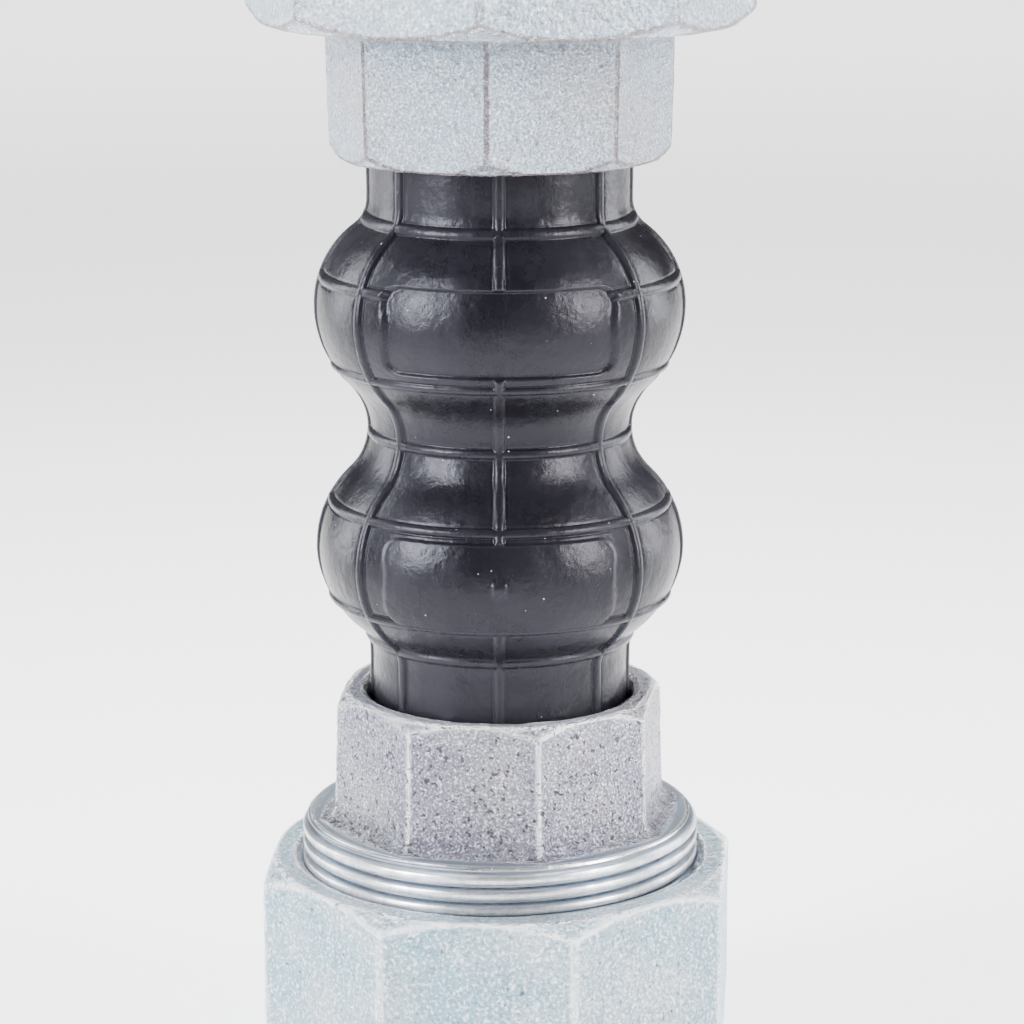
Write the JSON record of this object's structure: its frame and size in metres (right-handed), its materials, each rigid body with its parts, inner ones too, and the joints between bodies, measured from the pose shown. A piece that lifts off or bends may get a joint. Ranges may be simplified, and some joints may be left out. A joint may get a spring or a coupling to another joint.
{
  "type": "rubber expansion joint",
  "caption": "Moulded twin-sphere rubber expansion joint with an octagonal threaded union and a female pipe thread at each end.",
  "frame": {"origin": "centre of the lower tailpiece's end face", "axes": "+Z along the pipe axis, from the lower port to the upper port; -Y is the side with the blank name-plate pads"},
  "size_m": [0.0736, 0.0736, 0.2063],
  "materials": {
    "cover_rubber": "satin moulded EPDM",
    "tube_rubber": "smooth moulded EPDM",
    "ply_cord": "rubberised nylon cord",
    "wrap_tape": "rubberised tape",
    "hoop_wire": "bronze-coated steel wire",
    "galvanised_nut": "hot-dip galvanised casting",
    "galvanised_collar": "hot-dip galvanised casting",
    "galvanised_tailpiece": "hot-dip galvanised casting"
  },
  "bodies": {
    "lower_end": {"lower_tailpiece": "galvanised_tailpiece"},
    "lower_nut": {"lower_union_nut": "galvanised_nut"},
    "lower_ring": {"lower_collar": "galvanised_collar", "lower_bead_hoop": "hoop_wire", "lower_bead_wrap": "wrap_tape"},
    "lower_sphere": {"inner_tube": "tube_rubber", "cord_ply_inner": "ply_cord"},
    "upper_sphere": {"cord_ply_outer": "ply_cord", "outer_cover": "cover_rubber", "waist_hoop": "hoop_wire"},
    "upper_ring": {"upper_collar": "galvanised_collar", "upper_bead_hoop": "hoop_wire", "upper_bead_wrap": "wrap_tape"},
    "upper_end": {"upper_tailpiece": "galvanised_tailpiece"},
    "upper_nut": {"upper_union_nut": "galvanised_nut"}
  },
  "joints": [
    {"name": "lower_nut_turn", "type": "hinge", "parent": "lower_end", "child": "lower_nut", "pos_m": [0, 0, 0.0265], "axis": [0, 0, 1], "range_deg": [-900, 990]},
    {"name": "lower_ring_travel", "type": "slide", "parent": "lower_end", "child": "lower_ring", "axis": [0, 0, 1], "range_m": [-0.0064, 0.0058]},
    {"name": "lower_bend", "type": "hinge", "parent": "lower_ring", "child": "lower_sphere", "pos_m": [0, 0, 0.07385], "axis": [0, 1, 0], "range_deg": [-20, 20], "stiffness_Nm_per_rad": 40},
    {"name": "body_stretch", "type": "slide", "parent": "lower_sphere", "child": "upper_sphere", "axis": [0, 0, 1], "range_m": [-0.022, 0.006], "stiffness_N_per_m": 30000, "deforming": ["inner_tube", "cord_ply_inner", "cord_ply_outer", "outer_cover"]},
    {"name": "upper_bend", "type": "hinge", "parent": "upper_sphere", "child": "upper_ring", "pos_m": [0, 0, 0.13885], "axis": [0, 1, 0], "range_deg": [-20, 20], "stiffness_Nm_per_rad": 40},
    {"name": "upper_end_travel", "type": "slide", "parent": "upper_ring", "child": "upper_end", "axis": [0, 0, 1], "range_m": [0, 0.0128]},
    {"name": "upper_nut_turn", "type": "hinge", "parent": "upper_end", "child": "upper_nut", "pos_m": [0, 0, 0.17985], "axis": [0, 0, 1], "range_deg": [0, 1980]}
  ],
  "couplings": [
    {"joint": "lower_ring_travel", "follows": "lower_nut_turn", "m_per_rad": -0.00036749},
    {"joint": "upper_end_travel", "follows": "upper_nut_turn", "m_per_rad": 0.00036749}
  ]
}
